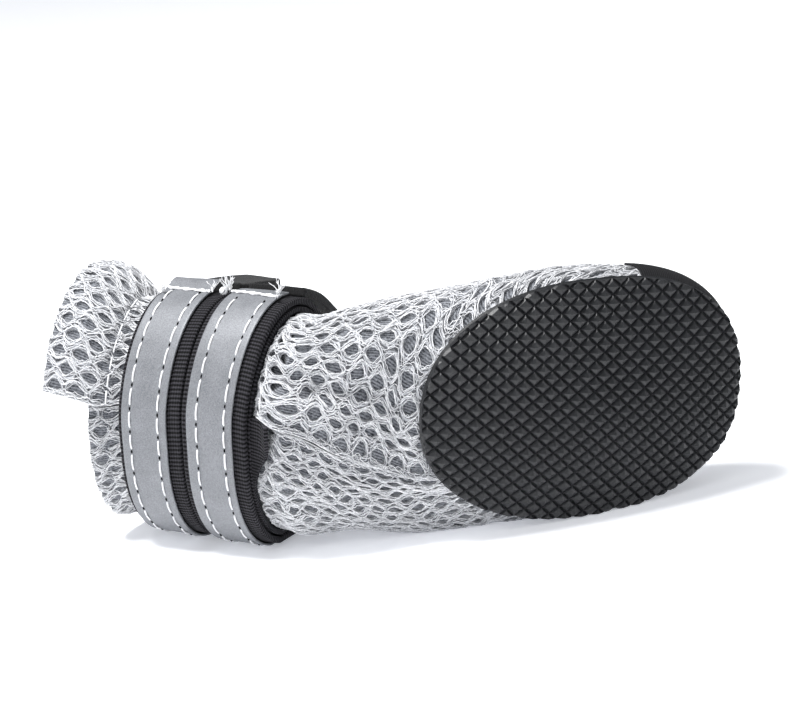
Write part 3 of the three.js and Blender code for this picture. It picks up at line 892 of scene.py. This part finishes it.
band = {
    "from": -0.2, "to": strapZone + 0.8, "thickness": 1.0, "edge": 0.25, "steps": (16, 180), "girth": 105,
}
bend = bendBand(band["from"], band["to"], wrap["bandOffset"] + band["thickness"])
addCloth("loop_band_webbing", band, bend, (band["to"] - band["from"], band["girth"]), nylonGrosgrain,
         ["loop_band"], True)

strap = {"thickness": 1.3, "edge": 0.35, "steps": (20, 180), "girth": 110}
strapStarts = (0, wrap["strapWidth"] + wrap["strapGap"])
places = ("foot", "collar")
for place, start in zip(places, strapStarts):
    bend = bendBand(start, start + wrap["strapWidth"], wrap["strapOffset"] + strap["thickness"])
    addCloth("webbing_" + place, strap, bend, (wrap["strapWidth"], strap["girth"]), nylonGrosgrain,
             ["strap_" + place], True)


# Open strips: angles are counted from the front of the leg, and narrow is where they narrow to and how much
def bendStrip(start, end, startAngle, endAngle, height, lift, narrow=None):
    def bend(across, around):
        if narrow:
            across = narrow[0] + (across - narrow[0]) * narrow[1](around)
        station = stationAlong(start + (end - start) * across)
        angle = (startAngle + (endAngle - startAngle) * around) * degrees
        return layerPoint(station, fromSlit(station, angle), height + lift(across, around), True)
    return bend


# Tapes: past their bar tacks, their ends curl up off the straps
tape = {
    "insets": (2.3, 2.5), "width": 9.3, "thickness": 0.4, "edge": 0.1, "angles": (30, 278), "tackAngle": 265,
    "curl": {"foot": 0.1, "collar": 1.5}, "steps": (16, 140), "length": 75,
}
tapeTop = wrap["tapeOffset"] + tape["thickness"]
for place, start, inset in zip(places, strapStarts, tape["insets"]):
    def curlUp(across, around):
        first, last = tape["angles"]
        past = (around * (last - first) - (tape["tackAngle"] - first)) / (last - tape["tackAngle"])
        return tape["curl"][place] * smoothStep(past)

    low = start + inset
    bend = bendStrip(low, low + tape["width"], *tape["angles"], tapeTop, curlUp)
    addCloth("tape_" + place, tape, bend, (tape["width"], tape["length"]), reflectiveFilm,
             ["reflective_tape_" + place])

# Loose ends of the straps: black hook pads that stand off them and narrow towards their foot side
tabShape = {
    "height": 1.5, "hinge": 0.08, "round": 0.8, "power": 1.4, "ripple": 0.35, "edge": 0.5,
    "steps": (14, 30), "length": 20,
}
tabColumns = ("name", "start", "angles", "inset", "lift", "tip", "thickness")
tabTable = [
    ("foot", -0.8, (284, 324), 1.0, 4.6, 0.4, 1.7),
    ("collar", strapStarts[1] - 0.8, (284, 318), 0.4, 9.2, 0.62, 2.2),
]
for values in tabTable:
    tab = {**tabShape, **dict(zip(tabColumns, values))}

    def narrow(around):
        past = np.clip((around - 1 + tab["round"]) / tab["round"], 0, 1)
        return 1 - (1 - tab["tip"]) * past ** tab["power"]

    def lift(across, around):
        return tab["lift"] * around ** 2 + tab["ripple"] * np.sin(around * 5 + across * 4) * around

    low, high = tab["start"] + tab["inset"], tab["start"] + wrap["strapWidth"] - tab["inset"]
    height = wrap["tapeOffset"] + tab["height"]
    bend = bendStrip(low, high, *tab["angles"], height, lift, (tab["hinge"], narrow))
    addCloth("tab_" + tab["name"], tab, bend, (high - low, tab["length"]), brushedNylon,
             ["hook_tab_" + tab["name"]])

# The black band shows more of itself where the lower panel of mesh is drawn away from the straps. Only the
# part nearest the straps is band; the rest of its reach is painted shade, a black sheet laid where the gap
# between strap and lower mesh lies in shade
flareAndGapShade = {
    "angles": (262, 359), "reach": 4.6, "from": 318, "over": 36, "tuck": 0.1, "height": 1.15,
    "thickness": 0.8, "edge": 0.2, "steps": (10, 60), "cloth": (4, 36),
}


def bendFlareAndGapShade(across, around):
    first, last = flareAndGapShade["angles"]
    afterSlit = (first + (last - first) * around) * degrees
    reach = flareAndGapShade["reach"] * smoothStep((afterSlit / degrees - flareAndGapShade["from"]) / flareAndGapShade["over"])
    station = stationAlong(-flareAndGapShade["tuck"] - (reach + flareAndGapShade["tuck"]) * (1 - across))
    return layerPoint(station, afterSlit, np.full(len(across), flareAndGapShade["height"]), True)


# Partly real band and partly painted shade of the gap at the lower mesh's edge
addCloth("band_flare_gap_shade", flareAndGapShade, bendFlareAndGapShade, flareAndGapShade["cloth"], nylonGrosgrain)

print("stitches")
needle = {"start": 0.4, "lengths": (0.92, 1.06), "sunk": -0.15, "edge": 0.08, "hole": 0.32, "radius": 0.2}


# Splits a line into stitches: short arcs of thread with a needle hole between each two, its shade painted as
# a short near-black thread
def runStitches(points, outward, pitch, dash, rise):
    sunk, edge = needle["sunk"], needle["edge"]
    arc = ((0, sunk), (0.07, edge), (0.3, rise), (0.5, rise + 0.04), (0.7, rise), (0.93, edge), (1, sunk))
    travel = np.concatenate(([0], np.linalg.norm(np.diff(points, axis=0), axis=1).cumsum())) / mm

    def at(place, height):
        place = np.clip(place, 0, travel[-1])
        spot = np.array([np.interp(place, travel, points[:, axis]) for axis in range(3)])
        out = np.array([np.interp(place, travel, outward[:, axis]) for axis in range(3)])
        return spot + out * height * mm

    threads, holes = [], []
    place = needle["start"]
    while place + dash < travel[-1]:
        length = dash * random.uniform(*needle["lengths"])
        threads.append([(at(place + share * length, height), 1) for share, height in arc])
        middle, half = place + length + (pitch - dash) / 2, needle["hole"]
        holes.append([(at(middle - half, 0.02), 0.6), (at(middle, 0.05), 1), (at(middle + half, 0.02), 0.6)])
        place += pitch
    return threads, holes


def stripLine(along, angles, height, eased=True, steps=320):
    spread = np.linspace(angles[0], angles[1], steps) * degrees
    station = stationAlong(np.full(steps, along))
    points = layerPoint(station, fromSlit(station, spread), np.full(steps, height), eased)
    return toWorld(points), skinNormal(station, spread) @ axes


stitch = {
    "pitch": 4.3, "dash": 3.0, "radius": 0.19, "rise": 0.14, "rows": ((0.15, 0.75), (0.18, 0.79)),
    "angles": (31, 266),
}
threads, holes = [], []
for start, inset, rows in zip(strapStarts, tape["insets"], stitch["rows"]):
    for share in rows:
        line = stripLine(start + inset + share * tape["width"], stitch["angles"], tapeTop)
        made = runStitches(*line, stitch["pitch"], stitch["dash"], stitch["rise"])
        threads += made[0]
        holes += made[1]
threadPiece("tape_stitches", threads, stitch["radius"], sewingThread)
# The needle holes are painted shade: short near-black threads on the tape rather than cut holes
threadPiece("needle_hole_shades", holes, needle["radius"], needleHoleShade)

line = stripLine(strapZone + hemLine["along"], hemLine["angles"], hemLine["height"], False)
threads = runStitches(*line, hemLine["pitch"], hemLine["dash"], hemLine["rise"])[0]
threadPiece("hem_stitches", threads, hemLine["radius"], sewingThread)

# Bar tacks across the tapes near their ends: zigzags of thread laid over each other
tacks = {"radius": 0.21, "passes": 3, "steps": 26, "over": 0.02, "width": 0.55, "slant": 2.5, "height": 0.16}
tackPaths = []
for start, inset in zip(strapStarts, tape["insets"]):
    for turn in range(tacks["passes"]):
        share = np.linspace(-tacks["over"], 1 + tacks["over"], tacks["steps"])
        station = stationAlong(start + inset + share * tape["width"])
        zigzag = tacks["width"] * np.sin(share * 21 + turn * 2)
        angle = tape["tackAngle"] + turn * 0.5 + zigzag + tacks["slant"] * share
        height = tapeTop + tacks["height"] + 0.1 * np.sin(share * 34 + turn)
        points = toWorld(layerPoint(station, fromSlit(station, angle * degrees), height, True))
        tackPaths.append([(point, 1) for point in points])
threadPiece("bar_tacks", tackPaths, tacks["radius"], sewingThread)

# Tufts of cut thread: where along the shaft, angle from the front, how many, how long in mm
tufts = [
    (13.0, 271, 14, 2.4), (12.2, 268, 9, 1.5), (3.2, 272, 9, 2.0), (24.6, 262, 7, 1.6), (15.6, 266, 6, 1.5),
    (2.4, 264, 5, 1.4),
]
tuftThread = {"radius": 0.12, "lean": 0.8, "curl": 0.8, "wave": 0.3, "taper": 0.45}
tuftPaths = []
for along, angle, count, reach in tufts:
    station = stationAlong(np.array([along]))
    base = toWorld(layerPoint(station, fromSlit(station, angle * degrees), np.array([tapeTop]), True))[0]
    out = (skinNormal(station, np.array([angle * degrees])) @ axes)[0]
    most = tuftThread["lean"]
    for _ in range(count):
        lean = np.array([random.uniform(-most, most), random.uniform(-most, most), random.uniform(-0.2, 0.5)])
        curl = np.array([random.uniform(-1, 1), random.uniform(-1, 1), random.uniform(-0.5, 0.5)])
        path = []
        for share in (0, 0.16, 0.33, 0.5, 0.66, 0.83, 1):
            wave = np.array([math.sin(share * 7 + curl[0] * 3), math.sin(share * 8 + curl[1] * 3), 0])
            bent = curl * tuftThread["curl"] + wave * tuftThread["wave"]
            spot = base + ((out + lean) * share * reach + bent * share ** 1.5) * mm
            path.append((spot, 1 - tuftThread["taper"] * share))
        tuftPaths.append(path)

# A knot of thicker thread, wound up small, between the two tabs
knot = {"along": 12.9, "angle": 265, "radius": 0.62, "turns": 9, "height": 0.5, "share": 1.6, "steps": 14}
station = stationAlong(np.array([knot["along"]]))
centre = toWorld(layerPoint(station, fromSlit(station, knot["angle"] * degrees),
                            np.array([tapeTop + knot["height"]]), True))[0]
for _ in range(knot["turns"]):
    first = np.array([random.gauss(0, 1) for _ in range(3)])
    second = np.array([random.gauss(0, 1) for _ in range(3)])
    first = first / np.linalg.norm(first)
    second = np.cross(first, second)
    second = second / np.linalg.norm(second)
    turns = [first * math.cos(a) + second * math.sin(a) for a in np.linspace(0, 2 * math.pi, knot["steps"])]
    tuftPaths.append([(centre + spot * knot["radius"] * mm, knot["share"]) for spot in turns])
threadPiece("thread_tufts", tuftPaths, tuftThread["radius"], sewingThread)

# Toe cap: a band of cloth from the sole's rim up, pressed closer to the mesh at its two ends
cap = {
    "from": 0.05, "over": 3.5, "height": 0.78, "press": 0.34, "thickness": 0.45, "edge": 0.15,
    "steps": (16, 90), "cloth": (9, 62),
}


def bendCap(across, around):
    station = cap["from"] + (wrap["capTop"] - cap["from"]) * across
    angle = (wrap["capHalfAngle"] + cap["over"]) * (2 * around - 1) * degrees
    height = cap["height"] - cap["press"] * np.abs(2 * around - 1) ** 6
    return layerPoint(station, fromSlit(station, angle), height)


addCloth("toe_cap_cloth", cap, bendCap, cap["cloth"], wovenPolyester, ["toe_cap"])

print("floor")
floor = bmesh.new()
bmesh.ops.create_grid(floor, x_segments=8, y_segments=8, size=3)
sweep = bpy.data.meshes.new("floor")
floor.to_mesh(sweep)
floor.free()
sweep.materials.append(paperSweep)
ground = bpy.data.objects.new("floor", sweep)
bpy.context.collection.objects.link(ground)
